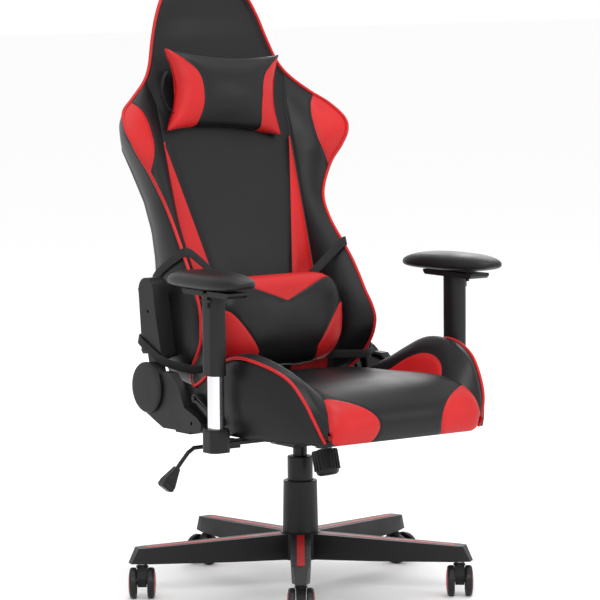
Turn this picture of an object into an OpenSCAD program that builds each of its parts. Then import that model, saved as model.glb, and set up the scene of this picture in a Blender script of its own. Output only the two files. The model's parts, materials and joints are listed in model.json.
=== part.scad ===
// Racing-style swivel chair. Millimetres, +Z up, the sitter faces -Y.
// The origin is on the floor, on the swivel axis. "right" is the sitter's right, which is -X.

/* [Base] */
// Distance from the swivel axis to the foot of a leg's tip
base_reach = 350; // [320:1:370]
// Distance from the swivel axis to a caster stem
stem_reach = 325; // [295:1:330]
// Height of a leg's top at the hub
hub_top = 110; // [104:1:116]
// Height of a leg's top at its tip
tip_top = 97; // [94:1:102]
// Width of a leg
leg_w = 38; // [34:1:42]

/* [Casters] */
// Radius of a wheel
wheel_r = 30; // [28:0.5:30]
// Width of one wheel
wheel_w = 14; // [12:0.5:15]
// Half of the space between the two wheels of a caster
wheel_gap = 10.5; // [10:0.5:12]
// How far the axle trails the stem
trail = 14; // [10:1:18]

/* [Column] */
// Radius of the cover sleeve at its foot
cover_r = 35; // [33:0.5:37]
// Height of the cover sleeve's top
cover_top = 213; // [190:1:230]
// Height of the outer tube's top
tube_top = 258; // [250:1:262]

/* [Seat] */
// Half width of the seat pad
pad_half = 182; // [170:1:190]
// Half width of the seat over its wings
seat_half = 250; // [244:1:256]
// Front of the seat pad
seat_front = -356; // [-370:1:-340]
// Back of the seat pad
seat_back = 78; // [60:1:80]

/* [Backrest] */
// Lean of the backrest at rest, in degrees
back_lean = 17; // [14:0.5:20]
// Place of the recline pivot along Y
pivot_y = 135; // [130:1:140]
// Height of the recline pivot
pivot_z = 405; // [400:1:410]

/* [Armrests] */
// Distance of an armrest post from the middle
arm_x = 290; // [286:1:300]
// Place of an armrest post along Y
arm_y = -130; // [-140:1:-120]
// Length of an arm pad
arm_pad_len = 264; // [240:1:280]
// Width of an arm pad
arm_pad_w = 94; // [84:1:100]

/* [Hidden] */
$fn = 48;

black = [0.10, 0.10, 0.11];
soft_black = [0.16, 0.16, 0.17];
red = [0.80, 0.12, 0.12];
steel = [0.62, 0.62, 0.64];
chrome = [0.85, 0.85, 0.87];

run = 0.06;        // radial clearance of a shaft that turns or slides
gap = 0.3;         // clearance between neighbours on different bodies
right = -1;
left = 1;

// Legs and casters, counted from the leg that points to the front right corner
leg_step = 72;
leg_first = -36;
caster_heading = [-36, -36, 25, -75, -36];
caster_count = 5;

hub_r = 39;
hub_low = 57;
tip_low = 67;
tip_slant = 14.5;          // how much further out the tip's foot is than its top
leg_wall = 4;
tube_r = 25;
tube_wall = 2;
tube_low = 58;
stem_r = 5.5;
stem_top = 92;
stem_low = 48;
fork_top = 64;
axle_r = 3;
axle_z = wheel_r;

rod_r = 5;
rod_top = 190;
piston_h = 8;
lift_r = 14;
lift_wall = 2;
lift_low = 88;
lift_top = 296;
cap_h = 8;
release_r = 3;

housing_half = 38;
housing_wall = 3;
housing_top = 316;
tilt_y = -26;              // tilt pivot
tilt_z = 306;
tilt_pin_r = 6;
knob_tilt = 15;            // lean of the tension bolt
knob_y = -86;
knob_z = 262;
knob_r = 26;
bolt_r = 4;
plate_low = 326;
plate_t = 3;
frame_low = 329.2;
frame_t = 12;
bar_low = 322.8;
bar_t = 6;

stud_r = 8;                // recline pivot stud
side_x = 266;              // outer face of the recliner covers
side_plate_x = 243;        // inner face of the lower side plates
side_t = 5;
upper_plate_x = 235;       // inner face of the backrest's side brackets
back_mid = 155;            // half width of the middle of the backrest

sleeve_low = 456;
sleeve_top = 612;
arm_tube_x = 28;
arm_tube_y = 32;
arm_tube_round = 12;
arm_tube_top = 518;
socket_low = 310;
socket_top = 355;

// ---------- helpers ----------

// One point of a Catmull-Rom curve between b and c
function curve_point(a, b, c, d, t) =
    0.5 * ((2 * b) + (c - a) * t + (2 * a - 5 * b + 4 * c - d) * t * t
    + (3 * b - a - 3 * c + d) * t * t * t);
// A smooth open curve through every point of p, with n steps between points
function smooth(p, n) = [
    for (i = [0 : len(p) - 2]) for (k = [0 : n - 1])
        curve_point(p[max(i - 1, 0)], p[i], p[i + 1], p[min(i + 2, len(p) - 1)], k / n),
    p[len(p) - 1]
];
function flip(p) = [for (i = [len(p) - 1 : -1 : 0]) [-p[i][0], p[i][1]]];
function leg_angle(i) = leg_first + i * leg_step;

// Turns local [along the leg, across, up] into the leg's place
module at_leg(i) {
    rotate([0, 0, leg_angle(i) - 90]) children();
}
// Extrudes a side view drawn as [y, z] from x0 to x1
module side_view(x0, x1) {
    translate([x0, 0, 0]) rotate([90, 0, 90]) linear_extrude(x1 - x0) children();
}
// The same on either side of the chair: a and b are distances from the middle
module on_side(s, a, b) {
    if (s > 0) side_view(a, b) children();
    else side_view(-b, -a) children();
}
// A cylinder along X, from distance a to distance b on side s
module side_pin(s, a, b, y, z, r) {
    translate([s * a, y, z]) rotate([0, s * 90, 0]) cylinder(h = b - a, r = r);
}
// Turns a shape drawn up along +Z so that it points to the s side of Z
module outward(s) {
    if (s > 0) children();
    else rotate([180, 0, 0]) children();
}
module rounded(w, d, r) {
    square([w - 2 * r, d], center = true);
    square([w, d - 2 * r], center = true);
    for (x = [-1, 1]) for (y = [-1, 1])
        translate([x * (w / 2 - r), y * (d / 2 - r)]) circle(r);
}
// The backrest's own frame: x across, y backwards, z up along the lean, zero at the pivot
module back_place() {
    translate([0, pivot_y, pivot_z]) rotate([-back_lean, 0, 0]) children();
}
// A flat band that follows points; every point has its own width direction
module ribbon(path, across, width, thick) {
    n = len(path);
    function along(i) = path[min(i + 1, n - 1)] - path[max(i - 1, 0)];
    function unit(v) = v / norm(v);
    function face(i) = unit(cross(along(i), across[i])) * thick / 2;
    function wide(i) = unit(across[i]) * width / 2;
    polyhedron(
        points = [for (i = [0 : n - 1]) each [
            path[i] - wide(i) - face(i), path[i] + wide(i) - face(i),
            path[i] + wide(i) + face(i), path[i] - wide(i) + face(i)]],
        faces = concat(
            [[0, 1, 2, 3]],
            [for (i = [0 : n - 2]) for (k = [0 : 3])
                [4 * i + k, 4 * i + 4 + k, 4 * i + 4 + (k + 1) % 4, 4 * i + (k + 1) % 4]],
            [[4 * n - 1, 4 * n - 2, 4 * n - 3, 4 * n - 4]]
        )
    );
}

// ---------- base ----------

function leg_slope(r) = hub_top + (tip_top - hub_top) * r / (base_reach - tip_slant);
// A leg's block, smaller all round by inset, and open below when low is true
module leg_block(inset, low) {
    tip = base_reach - inset;
    half = leg_w / 2 - inset;
    intersection() {
        rotate([90, 0, 0]) translate([0, 0, -leg_w]) linear_extrude(2 * leg_w) polygon([
            [0, low ? 0 : hub_low], [150, low ? 0 : hub_low + 3], [tip, low ? 0 : tip_low],
            [tip - tip_slant, tip_top - inset], [0, hub_top - inset]]);
        linear_extrude(hub_top + 10) polygon([
            [0, -half - 2], [260, -half + 1], [tip - 28, -half + 2], [tip, -half + 9],
            [tip, half - 9], [tip - 28, half - 2], [260, half - 1], [0, half + 2]]);
    }
}
module leg_hollow() {
    difference() {
        leg_block(leg_wall, true);
        cylinder(h = hub_top + 10, r = hub_r + 1.5);
        for (r = [75 : 45 : 255]) translate([r, -leg_w, 0]) cube([3, 2 * leg_w, hub_top]);
        translate([stem_reach, 0, 0]) cylinder(h = hub_top, r = stem_r + 5);
        translate([285, -1.5, 0]) cube([base_reach, 3, hub_top]);
    }
}
module inlay_strip(low, high, half) {
    translate([0, half, 0]) rotate([90, 0, 0]) linear_extrude(2 * half) polygon([
        [hub_r + 3, leg_slope(hub_r + 3) + low], [316, leg_slope(316) + low],
        [316, leg_slope(316) + high], [hub_r + 3, leg_slope(hub_r + 3) + high]]);
}
module star_base() {
    color(black) difference() {
        union() {
            translate([0, 0, hub_low]) cylinder(h = hub_top - hub_low, r = hub_r);
            for (i = [0 : caster_count - 1]) at_leg(i) leg_block(0, false);
        }
        for (i = [0 : caster_count - 1]) at_leg(i) {
            leg_hollow();
            inlay_strip(-1, 10, 7.6);
            translate([stem_reach, 0, 0]) cylinder(h = stem_top + 0.5, r = stem_r);
        }
        cylinder(h = hub_top + 10, r = tube_r + 0.02);
    }
}
module leg_inlays() {
    color(red) for (i = [0 : caster_count - 1]) at_leg(i) inlay_strip(-0.95, 0.5, 7.3);
}
module gas_cylinder() {
    color(black) rotate_extrude() polygon([
        [rod_r + 0.6, tube_low], [tube_r - 1, tube_low], [tube_r, tube_low + 6],
        [tube_r, tube_top], [tube_r - tube_wall, tube_top], [tube_r - tube_wall, tube_low + 4],
        [rod_r + 0.6, tube_low + 4]]);
}
module column_cover() {
    wall = 2;
    color(soft_black) rotate_extrude() polygon([
        [cover_r - wall, hub_top + 0.2], [cover_r, hub_top + 0.2], [cover_r - 1.7, cover_top - 1],
        [cover_r - 2.7, cover_top], [tube_r + 0.4, cover_top], [tube_r + 0.4, cover_top - 3],
        [cover_r - 1.7 - wall, cover_top - 3]]);
}
module guide_bush() {
    bore = lift_r + run;
    mouth = tube_r - tube_wall - 0.05;
    color(soft_black) rotate_extrude() polygon([
        [bore, 180], [mouth, 180], [mouth, tube_top + 0.1], [tube_r, tube_top + 0.1],
        [tube_r, tube_top + 2], [tube_r - 1, tube_top + 3], [bore, tube_top + 3]]);
}
bearing_low = tube_low + 4.1;
washer_t = 1.5;
ball_r = 1.6;
module thrust_bearing() {
    color(steel) {
        for (z = [bearing_low, bearing_low + washer_t + 2 * ball_r + 0.1])
            translate([0, 0, z]) rotate_extrude()
                translate([rod_r + 0.2, 0]) square([6, washer_t]);
        for (a = [0 : 45 : 315]) rotate([0, 0, a])
            translate([8, 0, bearing_low + washer_t + ball_r + 0.05]) sphere(ball_r);
    }
}
module caster_stems() {
    color(steel) for (i = [0 : caster_count - 1]) at_leg(i) translate([stem_reach, 0, 0])
        rotate_extrude() polygon([
            [0, stem_low], [stem_r - run, stem_low], [stem_r - run, fork_top],
            [stem_r + 3, fork_top + 0.1], [stem_r + 3, fork_top + 1.5],
            [stem_r - 0.02, fork_top + 1.5], [stem_r - 0.02, stem_top], [0, stem_top]]);
}

// ---------- casters ----------

// Places a caster: x from the stem towards its axle, y along the axle
module at_caster(i) {
    at_leg(i) translate([stem_reach, 0, 0])
        rotate([0, 0, caster_heading[i] - leg_angle(i)]) children();
}
module caster_fork(i) {
    half = wheel_gap - 0.6;
    color(black) at_caster(i) difference() {
        union() {
            intersection() {
                translate([0, half + 1, 0]) rotate([90, 0, 0]) linear_extrude(2 * half + 2)
                    polygon(concat(
                        [[-11, 58], [-14, 50]],
                        [for (a = [170 : 20 : 350])
                            [trail + 9 * cos(a) * 1.1, axle_z + 9 * sin(a)]],
                        [[trail + 15, 40], [14, 54], [11, 58]]));
                rotate([90, 0, 90]) translate([0, 0, -40]) linear_extrude(80) polygon([
                    [-half + 1.6, 15], [half - 1.6, 15], [half, 58], [-half, 58]]);
            }
            translate([0, 0, 46]) cylinder(h = fork_top - 0.4 - 46, r = 9.5);
            translate([0, 0, 58]) cylinder(h = 3, r = 12);
        }
        cylinder(h = fork_top, r = stem_r);
        translate([trail, 0, axle_z]) rotate([90, 0, 0])
            cylinder(h = 60, r = axle_r + run, center = true);
    }
}
module caster_wheels(i) {
    color(soft_black) at_caster(i) translate([trail, 0, axle_z]) rotate([90, 0, 0]) {
        for (s = [-1, 1]) outward(s) translate([0, 0, wheel_gap]) rotate_extrude() polygon([
            [axle_r + 0.01, 0], [10, 0], [10, 3], [wheel_r - 6, 3], [wheel_r - 4, 0],
            [wheel_r - 1.5, 0.6], [wheel_r, 3], [wheel_r, wheel_w - 4], [wheel_r - 2, wheel_w - 1],
            [wheel_r - 5, wheel_w], [wheel_r - 6.5, wheel_w], [wheel_r - 6.5, wheel_w - 3],
            [axle_r + 0.01, wheel_w - 3]]);
        cylinder(h = 2 * (wheel_gap + wheel_w - 3.2), r = axle_r, center = true);
    }
}
module caster_caps(i) {
    cap = wheel_r - 6.8;
    color(red) at_caster(i) translate([trail, 0, axle_z]) rotate([90, 0, 0])
        for (s = [-1, 1]) outward(s) translate([0, 0, wheel_gap + wheel_w - 2.9])
            rotate_extrude() polygon(concat(
                [[0, 0], [cap, 0], [cap, 2.6]],
                [for (a = [15 : 15 : 75]) [cap * cos(a), 2.6 + 2.4 * sin(a)]],
                [[0, 5]]));
}

// ---------- lift ----------

module piston_rod() {
    collar = bearing_low + 2 * washer_t + 2 * ball_r + 0.2;
    color(steel) union() {
        translate([0, 0, hub_low - 0.5]) cylinder(h = rod_top - hub_low + 0.5, r = rod_r);
        translate([0, 0, hub_low - 0.5]) cylinder(h = 1.3, r = 9);
        translate([0, 0, collar]) cylinder(h = 2.5, r = 10);
        translate([0, 0, rod_top - piston_h])
            cylinder(h = piston_h, r = lift_r - lift_wall - run);
    }
}
module lift_tube() {
    color(soft_black) rotate_extrude() polygon([
        [rod_r + run, lift_low], [lift_r, lift_low], [lift_r, lift_top],
        [release_r + run, lift_top], [release_r + run, lift_top - cap_h],
        [lift_r - lift_wall, lift_top - cap_h], [lift_r - lift_wall, lift_low + cap_h],
        [rod_r + run, lift_low + cap_h]]);
}
module release_pin() {
    color(steel) translate([0, 0, lift_top - cap_h - 3])
        cylinder(h = cap_h + 10, r = release_r);
}
module tilt_housing() {
    module outline(t) {
        polygon([[48, 286 + t], [44 - t, 283 + t], [-30, 283 + t], [-46, 306 + t],
            [-118, 306 + t], [-122, 309 + t], [-122, housing_top + 5 * t], [0, housing_top + 5 * t],
            [48, housing_top - 10 + 5 * t]]);
    }
    color(black) difference() {
        union() {
            difference() {
                side_view(-housing_half, housing_half) outline(0);
                intersection() {
                    side_view(-housing_half + housing_wall, housing_half - housing_wall)
                        outline(housing_wall);
                    translate([-100, -119, 0]) cube([200, 164, 400]);
                }
            }
            translate([0, 0, 284]) cylinder(h = 14, r = 18);
        }
        translate([0, 0, 200]) cylinder(h = 200, r = lift_r + 0.02);
        side_view(-60, 60) translate([tilt_y, tilt_z]) circle(tilt_pin_r + 0.02);
        // Way through for the tension bolt, long enough for the whole tilt
        for (y = [-86 : 4 : -74]) translate([0, y, 290]) cylinder(h = 20, r = 10);
        // Way for the lift lever's rod through the sitter's right wall
        translate([-60, lever_y - 6, 296]) cube([30, 12, 30]);
    }
}
module tilt_pin() {
    color(steel) translate([0, tilt_y, tilt_z]) rotate([0, 90, 0]) {
        cylinder(h = 94, r = tilt_pin_r, center = true);
        for (s = [-1, 1]) translate([0, 0, s * 48]) cylinder(h = 2, r = 9, center = true);
    }
}
// The tension bolt's own frame, zero at the knob's middle, z up along the bolt
module at_knob() {
    translate([0, knob_y, knob_z]) rotate([-knob_tilt, 0, 0]) children();
}
module tilt_spring() {
    turns = 4;
    per_turn = 14;
    sides = 8;
    wire = 2;
    coil = 15;
    low = -6;
    height = 38;
    n = turns * per_turn;
    function turn(i) = 360 * i / per_turn;
    color(steel) at_knob() polyhedron(
        points = [for (i = [0 : n]) for (k = [0 : sides - 1])
            let (a = turn(i), b = 360 * k / sides)
            [(coil + wire * cos(b)) * cos(a), (coil + wire * cos(b)) * sin(a),
                low + wire + height * i / n + wire * sin(b)]],
        faces = concat(
            [[for (k = [0 : sides - 1]) k]],
            [for (i = [0 : n - 1]) for (k = [0 : sides - 1])
                [i * sides + k, (i + 1) * sides + k,
                    (i + 1) * sides + (k + 1) % sides, i * sides + (k + 1) % sides]],
            [[for (k = [sides - 1 : -1 : 0]) n * sides + k]]));
}
module tension_knob() {
    ribs = 20;
    color(black) at_knob() difference() {
        union() {
            rotate_extrude() polygon([
                [0, -30], [16, -30], [21, -27], [knob_r - 2, -18], [knob_r - 1, 20], [0, 20]]);
            for (i = [0 : ribs - 1]) rotate([0, 0, i * 360 / ribs])
                translate([knob_r - 3, -1.4, -20]) cube([3, 2.8, 38]);
        }
        translate([0, 0, -8]) cylinder(h = 40, r = 21);
        translate([0, 0, -40]) cylinder(h = 80, r = bolt_r + run);
    }
}
lever_y = -8;
module lift_lever() {
    rod = 4;
    // From the pin over the release pin, out to the side and down to the paddle
    route = [[0, 307.3], [-26, 304], [-258, 301], [-272, 293], [-290, 274], [-300, 262]];
    color(black) {
        for (i = [0 : len(route) - 2]) {
            a = route[i];
            b = route[i + 1];
            run_x = b[0] - a[0];
            run_z = b[1] - a[1];
            translate([a[0], lever_y, a[1]]) {
                rotate([0, atan2(run_x, run_z), 0]) cylinder(h = norm([run_x, run_z]), r = rod);
                if (i > 0) sphere(rod + 0.3);
            }
        }
        translate([-4, lever_y - 3, 303.3]) cube([8, 14, 6]);
        // Barrel on which the lever rocks in the housing's wall
        translate([-36.5, lever_y + 5, 304]) rotate([90, 0, 0]) cylinder(h = 10, r = 4.6);
    }
}
module lift_lever_grip() {
    color(soft_black) translate([-298, lever_y, 266]) rotate([0, 180 + 38, 0]) difference() {
        intersection() {
            translate([0, 10, 0]) rotate([90, 0, 0]) linear_extrude(20) polygon([
                [-5, 0], [5, 0], [7, 8], [14, 30], [15, 44], [11, 48], [-11, 48], [-15, 44],
                [-14, 30], [-7, 8]]);
            rotate([90, 0, 90]) translate([0, 0, -20]) linear_extrude(40) polygon([
                [-5.5, 0], [5.5, 0], [7, 30], [9, 36], [8, 40], [9, 44], [6, 50], [-6, 50],
                [-9, 44], [-8, 40], [-9, 36], [-7, 30]]);
        }
        rotate([0, 2, 0]) translate([0, 0, -2]) cylinder(h = 12, r = 4.1);
    }
}

// ---------- seat ----------

bolt_places = [for (s = [-1, 1]) each [
    [s * 70, -90], [s * 70, 60], [s * 163, -142], [s * 163, -118]]];
module seat_plate() {
    color(black) difference() {
        union() {
            side_view(-85, 85) polygon([[-105, plate_low], [75, plate_low],
                [75, plate_low + plate_t], [-105, plate_low + plate_t]]);
            for (s = [right, left]) on_side(s, 40, 44) polygon([
                [tilt_y - 12, tilt_z - 4], [tilt_y - 8, tilt_z - 11], [tilt_y + 8, tilt_z - 11],
                [tilt_y + 12, tilt_z - 4], [tilt_y + 14, plate_low + 1], [tilt_y - 20, plate_low + 1]]);
            at_knob() translate([0, 0, -24]) cylinder(h = 91, r = bolt_r);
        }
        side_view(-60, 60) translate([tilt_y, tilt_z]) circle(tilt_pin_r + run);
        for (p = bolt_places) translate([p[0], p[1], 300]) cylinder(h = 60, r = 4.2);
        translate([-50, -100, plate_low + plate_t]) cube([100, 100, 20]);
    }
}
module seat_frame() {
    rail = 26;
    outer = 178;
    front = -318;
    back = 72;
    color(black) translate([0, 0, frame_low]) difference() {
        union() {
            for (s = [-1, 1]) translate([s * (outer - rail / 2) - rail / 2, front, 0])
                cube([rail, back - front, frame_t]);
            for (y = [front, -143, -103, 47])
                translate([-outer, y, 0]) cube([2 * outer, rail, frame_t]);
        }
        for (p = bolt_places) translate([p[0], p[1], -10]) cylinder(h = 20, r = 4.02);
    }
}
module seat_bolts() {
    color(steel) for (i = [0 : len(bolt_places) - 1]) {
        p = bolt_places[i];
        top = abs(p[0]) > 100 ? bar_low : plate_low;
        translate([p[0], p[1], top - 5.1]) cylinder(h = 5, r = 6.5, $fn = 6);
        translate([p[0], p[1], top - 0.2]) cylinder(h = 338 - top, r = 4);
    }
}
module seat_cushion() {
    outline = smooth([[seat_back, 343], [seat_back, 408], [60, 417], [-40, 419], [-180, 424],
        [-290, 427], [-338, 419], [seat_front, 396], [-352, 366], [-338, 342]], 5);
    color(soft_black) side_view(-pad_half, pad_half) polygon(concat(outline, [[seat_back, 342]]));
}
module seat_wing(s) {
    side = smooth([[30, 424], [0, 430], [-60, 456], [-110, 479], [-155, 487], [-195, 484],
        [-242, 470], [-280, 449], [-313, 412], [-326, 384], [-332, 358], [-330, 338]], 4);
    inner = pad_half + gap;
    color(soft_black) intersection() {
        on_side(s, inner, seat_half) polygon(concat(side, [[-318, 334], [30, 334]]));
        translate([0, 100, 0]) rotate([90, 0, 0]) linear_extrude(500) polygon([
            [s * inner, 300], [s * inner, 436], [s * 196, 462], [s * 216, 484], [s * 232, 490],
            [s * seat_half, 490], [s * seat_half, 350], [s * (seat_half - 8), 300]]);
        linear_extrude(600) polygon([
            [s * 100, 100], [s * 238, 100], [s * 238, -46], [s * seat_half, -54],
            [s * seat_half, -190], [s * 240, -235], [s * 222, -285], [s * 208, -332],
            [s * 100, -340]]);
    }
}
module seat_wing_right() { seat_wing(right); }
module seat_wing_left() { seat_wing(left); }

// ---------- armrests ----------

module arm_bracket(s) {
    x0 = 118;
    foot = 22.5;
    color(black) difference() {
        union() {
            on_side(s, x0, arm_x - 10) polygon([[arm_y - 20, bar_low], [arm_y + 20, bar_low],
                [arm_y + 20, bar_low + bar_t], [arm_y - 20, bar_low + bar_t]]);
            translate([s * arm_x, arm_y, socket_low]) linear_extrude(socket_top - socket_low - 4)
                rounded(2 * foot, 2 * foot, 14);
            translate([s * arm_x, arm_y, socket_top - 4]) linear_extrude(4)
                rounded(2 * foot - 3, 2 * foot - 3, 13);
            on_side(s, arm_x - 46, arm_x - 15) polygon([[arm_y - 14, 316], [arm_y + 14, 316],
                [arm_y + 14, 332], [arm_y - 14, 332]]);
        }
        translate([s * arm_x, arm_y, socket_low + 6]) linear_extrude(100)
            rounded(arm_tube_x + 0.2, arm_tube_y + 0.2, arm_tube_round);
        for (p = bolt_places) translate([p[0], p[1], 300]) cylinder(h = 60, r = 4.2);
    }
}
module arm_bracket_right() { arm_bracket(right); }
module arm_bracket_left() { arm_bracket(left); }
module arm_tube(s) {
    color(chrome) translate([s * arm_x, arm_y, socket_low + 6.2])
        linear_extrude(arm_tube_top - socket_low - 6.2) difference() {
            rounded(arm_tube_x, arm_tube_y, arm_tube_round);
            rounded(arm_tube_x - 4, arm_tube_y - 4, arm_tube_round - 2);
        }
}
module arm_tube_right() { arm_tube(right); }
module arm_tube_left() { arm_tube(left); }
module arm_sleeve(s) {
    slot = 13;
    color(black) difference() {
        union() {
            intersection() {
                translate([s * arm_x, arm_y, sleeve_low]) linear_extrude(sleeve_top - sleeve_low)
                    translate([0, 4]) rounded(35, 48, 16);
                side_view(-400, 400) polygon([
                    [arm_y - 20, sleeve_low], [arm_y + 20.5, sleeve_low], [arm_y + 28, sleeve_top],
                    [arm_y - 20, sleeve_top]]);
            }
            on_side(s, arm_x - 23, arm_x + 23) polygon([
                [arm_y - 76, 613], [arm_y - 70, 608], [arm_y + 70, 608], [arm_y + 76, 613],
                [arm_y + 76, 618], [arm_y - 76, 618]]);
        }
        translate([s * arm_x, arm_y, sleeve_low - 1]) linear_extrude(604 - sleeve_low)
            rounded(arm_tube_x + 2 * gap, arm_tube_y + 2 * gap, arm_tube_round);
        // Way for the trigger's stem
        translate([s * (arm_x + 20.3) - 3.8, arm_y - slot / 2, 600]) cube([7.6, slot, 30]);
    }
}
module arm_sleeve_right() { arm_sleeve(right); }
module arm_sleeve_left() { arm_sleeve(left); }
module arm_pad(s) {
    toe_out = 3.5;
    centre_y = arm_y + 13;
    half_l = arm_pad_len / 2;
    half_w = arm_pad_w / 2;
    // Rounded outline: a flattened oval
    outline = [for (a = [0 : 7.5 : 352.5])
        [half_w * sign(cos(a)) * pow(abs(cos(a)), 0.62),
            half_l * sign(sin(a)) * pow(abs(sin(a)), 0.72)]];
    top = smooth([[-half_l, 630], [-half_l + 10, 638], [-80, 647], [0, 651], [70, 648],
        [half_l - 12, 636], [half_l, 628]], 4);
    low = smooth([[half_l, 628], [half_l - 14, 619.5], [70, 619.2], [-70, 619.2],
        [-half_l + 20, 619.5], [-half_l, 630]], 4);
    color(soft_black) translate([s * arm_x, centre_y, 0]) rotate([0, 0, s * toe_out])
        intersection() {
            linear_extrude(800) polygon(outline);
            side_view(-60, 60) polygon(concat(top, low));
            translate([0, 200, 0]) rotate([90, 0, 0]) linear_extrude(400) polygon([
                [-half_w, 628], [-half_w + 6, 619], [half_w - 6, 619], [half_w, 628],
                [half_w - 1, 638], [half_w - 9, 646], [18, 652], [-18, 652],
                [-half_w + 9, 646], [-half_w + 1, 638]]);
        }
}
module arm_pad_right() { arm_pad(right); }
module arm_pad_left() { arm_pad(left); }
module arm_trigger(s) {
    x = arm_x + 17.9;
    color(black) union() {
        on_side(s, x, x + 5) {
            translate([arm_y - 6, 586]) square([12, 26]);
            translate([arm_y - 14, 597]) square([28, 4.5]);
        }
        on_side(s, x + 0.4, x + 4.8) translate([arm_y - 5, 606]) square([10, 8]);
    }
}
module arm_trigger_right() { arm_trigger(right); }
module arm_trigger_left() { arm_trigger(left); }

// ---------- recliner ----------

lever_hub = [-21, 399];
cover_outline = [[84, 441], [60, 440], [34, 417], [12, 377], [-30, 362], [-44, 352], [-42, 336],
    [-30, 332], [86, 330], [112, 340], [150, 356], [178, 380]];
module recliner_side(s) {
    tab_x = 140;
    union() {
        on_side(s, side_plate_x, side_plate_x + side_t) difference() {
            union() {
                translate([pivot_y, pivot_z]) circle(38);
                polygon([[pivot_y, pivot_z + 34], [60, 426], [-30, 412], [-32, 386],
                    [-30, 338], [110, 338], [pivot_y + 34, pivot_z - 8]]);
            }
            translate([70, 372]) circle(16);
        }
        side_pin(s, upper_plate_x - 4, side_plate_x + 14, pivot_y, pivot_z, stud_r);
        if (s == right)
            side_pin(s, side_plate_x + 4, side_x + 3, lever_hub[0], lever_hub[1], 4);
        on_side(s, tab_x, side_plate_x + side_t) polygon([
            [20, bar_low], [70, bar_low], [70, bar_low + bar_t], [20, bar_low + bar_t]]);
        on_side(s, side_plate_x, side_plate_x + side_t) translate([20, bar_low]) square([50, 20]);
    }
}
module recliner_plates() {
    color(black) {
        recliner_side(right);
        recliner_side(left);
    }
}
module recliner_cover(s) {
    skin = 2.5;
    inner = side_plate_x + side_t + 0.2;
    color(soft_black) difference() {
        on_side(s, inner, side_x) {
            polygon(cover_outline);
            translate([pivot_y, pivot_z]) circle(49);
        }
        on_side(s, inner - 1, side_x - skin) {
            translate([pivot_y, pivot_z]) circle(45);
            polygon([[84, 436], [62, 435], [38, 414], [16, 373], [-28, 358], [-39, 350],
                [-38, 340], [86, 335], [112, 345], [148, 361], [160, 380]]);
        }
        side_pin(s, 240, 280, -11, 349, 3.4);
    }
}
module recliner_cover_right() { recliner_cover(right); }
module recliner_cover_left() { recliner_cover(left); }
module recliner_caps() {
    cap_r = 50;
    color(soft_black) for (s = [right, left])
        translate([s * (side_x + 0.1), pivot_y, pivot_z]) rotate([0, s * 90, 0])
            rotate_extrude() polygon([
                [0, 0], [cap_r - 1, 0], [cap_r, 1.5], [cap_r, 5], [cap_r - 2, 7.5],
                [cap_r - 6, 8.6], [0, 9.4]]);
}
module recline_spring() {
    turns = 3;
    inner = 13;
    outer = 34;
    t = 1.6;
    steps = 22 * turns;
    function at(i, off) = let (a = i * 360 / 22, r = inner + (outer - inner) * i / steps + off)
        [r * cos(a), r * sin(a)];
    color(steel) on_side(right, side_plate_x + side_t + 1, side_plate_x + side_t + 10)
        translate([pivot_y, pivot_z]) polygon(concat(
            [for (i = [0 : steps]) at(i, 0)], [for (i = [steps : -1 : 0]) at(i, t)]));
}
module recline_lever() {
    color(black) difference() {
        on_side(right, 252, side_x) polygon(concat(
            [for (a = [-120 : 20 : 120]) lever_hub + 9 * [cos(a), sin(a)]],
            [[-90, 370], [-104, 364], [-104, 352], [-92, 351]]));
        side_pin(right, 240, 280, lever_hub[0], lever_hub[1], 4 + run);
    }
}

// ---------- backrest ----------

back_len = 836;
foam_low = -42;            // back face of the middle, in the backrest's frame
foam_high = 36;            // front face of the middle
wing_back = -24;
// Outline of half the backrest: [across, up]
back_half = smooth([[140, -14], [186, -4], [208, 20], [210, 50], [210, 80], [206, 106],
    [201, 136], [199, 170], [196, 206], [194, 232], [190, 260], [188, 300], [195, 352], [221, 413], [254, 458],
    [266, 500], [248, 540], [214, 570], [177, 603], [157, 635], [141, 685], [126, 730],
    [104, 772], [70, 812], [30, 832], [0, back_len]], 3);
// How far forward the wings' front edge stands: [up, forward]
wing_edge = smooth([[4, 60], [22, 78], [42, 107], [60, 123], [80, 130], [104, 131], [134, 126],
    [168, 119], [202, 108], [234, 96], [300, 72],
    [350, 60], [413, 66], [470, 84], [520, 76], [560, 56], [600, 40], [640, 34]], 3);

// The outline of the whole backrest, stood up and given a depth from low to high
module back_slab(low, high) {
    translate([0, -low, 0]) rotate([90, 0, 0]) linear_extrude(high - low)
        polygon(concat(back_half, flip(back_half)));
}
rod_pts = [[140, 14], [140, 430], [96, 640], [66, 738]];
module frame_tubes(grow) {
    r = 11 + grow;
    for (s = [-1, 1]) {
        for (i = [0 : len(rod_pts) - 2]) {
            a = rod_pts[i];
            b = rod_pts[i + 1];
            translate([s * a[0], 0, a[1]]) {
                rotate([0, s * atan2(b[0] - a[0], b[1] - a[1]), 0])
                    cylinder(h = norm(b - a), r = r);
                if (i > 0) sphere(r + 0.4);
            }
        }
        translate([s * 66, 0, 738]) sphere(r + 0.4);
    }
    translate([-66, 0, 738]) rotate([0, 90, 0]) cylinder(h = 132, r = r);
    for (z = [46, 300]) translate([-140, 0, z]) rotate([0, 90, 0]) cylinder(h = 280, r = r - 3);
}
module frame_arms(grow) {
    r = 8 + grow;
    for (s = [-1, 1]) for (z = [60, 176]) translate([s * 140, 0, z])
        rotate([0, s * 90, 0]) cylinder(h = upper_plate_x - 138, r = r);
}
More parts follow.
